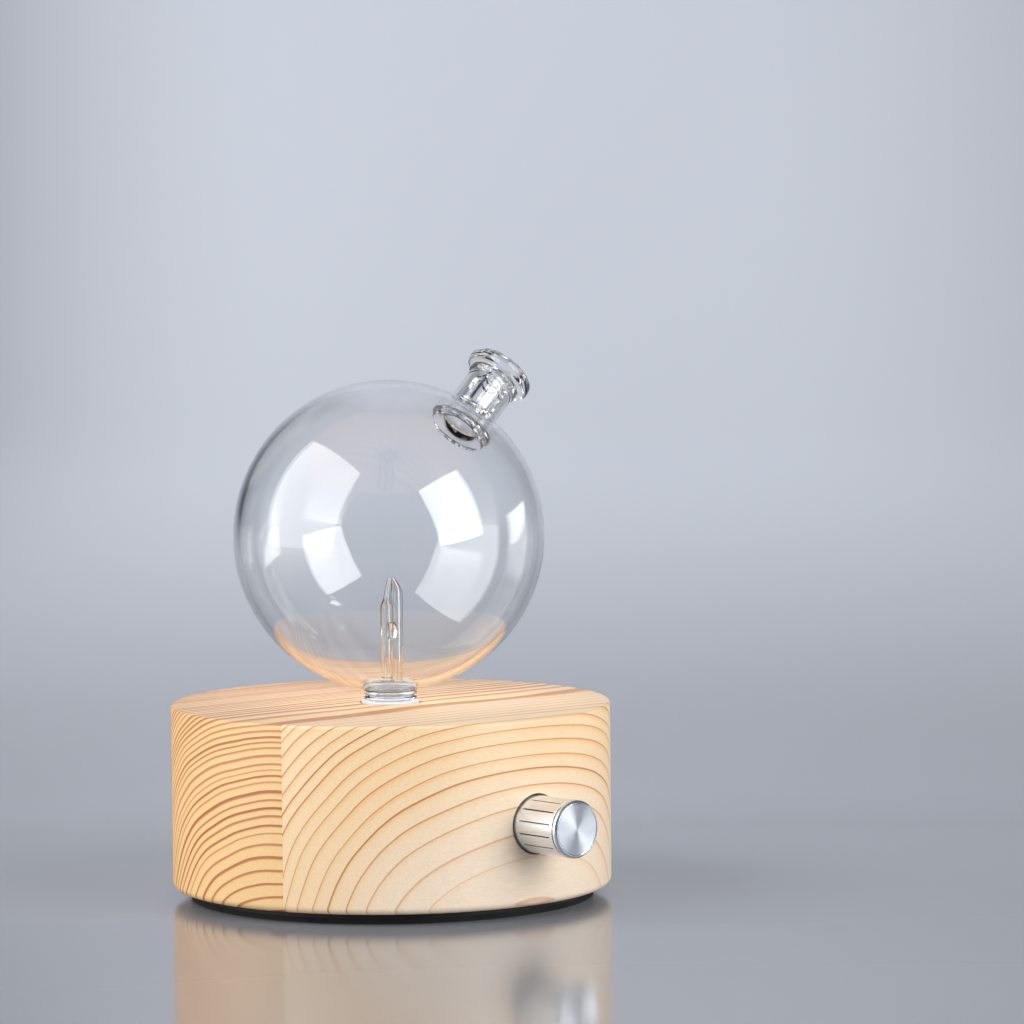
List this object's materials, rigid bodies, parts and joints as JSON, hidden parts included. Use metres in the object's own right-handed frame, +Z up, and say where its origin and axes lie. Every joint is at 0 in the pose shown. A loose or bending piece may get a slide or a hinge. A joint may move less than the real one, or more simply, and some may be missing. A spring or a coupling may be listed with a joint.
{
  "type": "essential oil diffuser",
  "caption": "Nebulising oil diffuser: clear glass bulb with a slanted stoppered neck and twin nozzle on a round pine base with a front control knob.",
  "frame": {"origin": "centre of the underside of the anti-slip pad, on the axis of the round base", "axes": "+Z up; the control knob points to -Y; the wood grain runs along X, and the bulb's neck leans towards +X"},
  "size_m": [0.12, 0.136, 0.1485],
  "materials": {
    "pine": "glued pine boards, sanded and thinly oiled, satin",
    "clear_glass": "clear blown borosilicate glass, polished",
    "turned_aluminium": "turned aluminium, circular brushing on the face, fluted side",
    "black_abs": "black moulded plastic, fine matt texture",
    "pad_rubber": "black anti-slip rubber sheet",
    "grey_silicone": "translucent grey silicone",
    "zinc_steel": "zinc plated steel",
    "brass": "turned brass",
    "white_nylon": "natural nylon",
    "board_laminate": "green solder mask on glass laminate",
    "magnet_ferrite": "dark sintered ferrite and lacquered iron",
    "foam_pad": "black closed-cell foam",
    "red_insulation": "red wire insulation",
    "black_insulation": "black wire insulation"
  },
  "bodies": {
    "base": {"wood_front": "pine", "wood_back": "pine", "foot_pad": "pad_rubber", "base_plate": "black_abs", "plate_screw_1": "zinc_steel", "plate_screw_2": "zinc_steel", "plate_screw_3": "zinc_steel", "plate_screw_4": "zinc_steel", "socket_cup": "black_abs", "cup_screw_1": "zinc_steel", "cup_screw_2": "zinc_steel", "control_body": "zinc_steel", "control_switch": "black_abs", "control_washer": "zinc_steel", "control_nut": "zinc_steel", "control_legs": "brass", "jack_body": "black_abs", "jack_pin": "brass", "jack_nut": "zinc_steel", "circuit_board": "board_laminate", "board_screw_1": "zinc_steel", "board_screw_2": "zinc_steel", "capacitor": "zinc_steel", "timer_chip": "black_abs", "motor_connector": "white_nylon", "power_connector": "white_nylon", "motor_can": "zinc_steel", "motor_magnet_1": "magnet_ferrite", "motor_magnet_2": "magnet_ferrite", "motor_end_cap": "white_nylon", "motor_tab_1": "brass", "motor_tab_2": "brass", "pump_housing": "black_abs", "con_rod": "white_nylon", "diaphragm": "pad_rubber", "valve_plate": "white_nylon", "pump_cover": "black_abs", "pump_pad": "foam_pad", "motor_strap": "zinc_steel", "strap_screw_1": "zinc_steel", "strap_screw_2": "zinc_steel", "air_hose": "grey_silicone", "motor_wire_1": "red_insulation", "motor_wire_2": "black_insulation", "power_wire_1": "red_insulation", "power_wire_2": "black_insulation"},
    "knob": {"knob_shell": "turned_aluminium", "knob_core": "black_abs", "control_shaft": "zinc_steel"},
    "rotor": {"armature": "magnet_ferrite", "motor_shaft": "zinc_steel", "eccentric": "brass"},
    "seal": {"stem_seal": "grey_silicone"},
    "bulb": {"glass_bulb": "clear_glass", "air_jet_tube": "clear_glass", "oil_tube": "clear_glass"},
    "stopper": {"glass_stopper": "clear_glass"}
  },
  "joints": [
    {"name": "knob_turn", "type": "hinge", "parent": "base", "child": "knob", "pos_m": [0, -0.06, 0.025], "axis": [0, 1, 0], "range_deg": [0, 300]},
    {"name": "rotor_spin", "type": "hinge", "parent": "base", "child": "rotor", "pos_m": [0, 0.022, 0.017], "axis": [1, 0, 0], "continuous": true},
    {"name": "bulb_lift", "type": "slide", "parent": "base", "child": "seal", "axis": [0, 0, 1], "range_m": [0, 0.03]},
    {"name": "bulb_swivel", "type": "hinge", "parent": "seal", "child": "bulb", "pos_m": [0, 0, 0.05], "axis": [0, 0, 1], "continuous": true},
    {"name": "stopper_pull", "type": "slide", "parent": "bulb", "child": "stopper", "axis": [0.7193, 0, 0.6947], "range_m": [0, 0.016]}
  ]
}
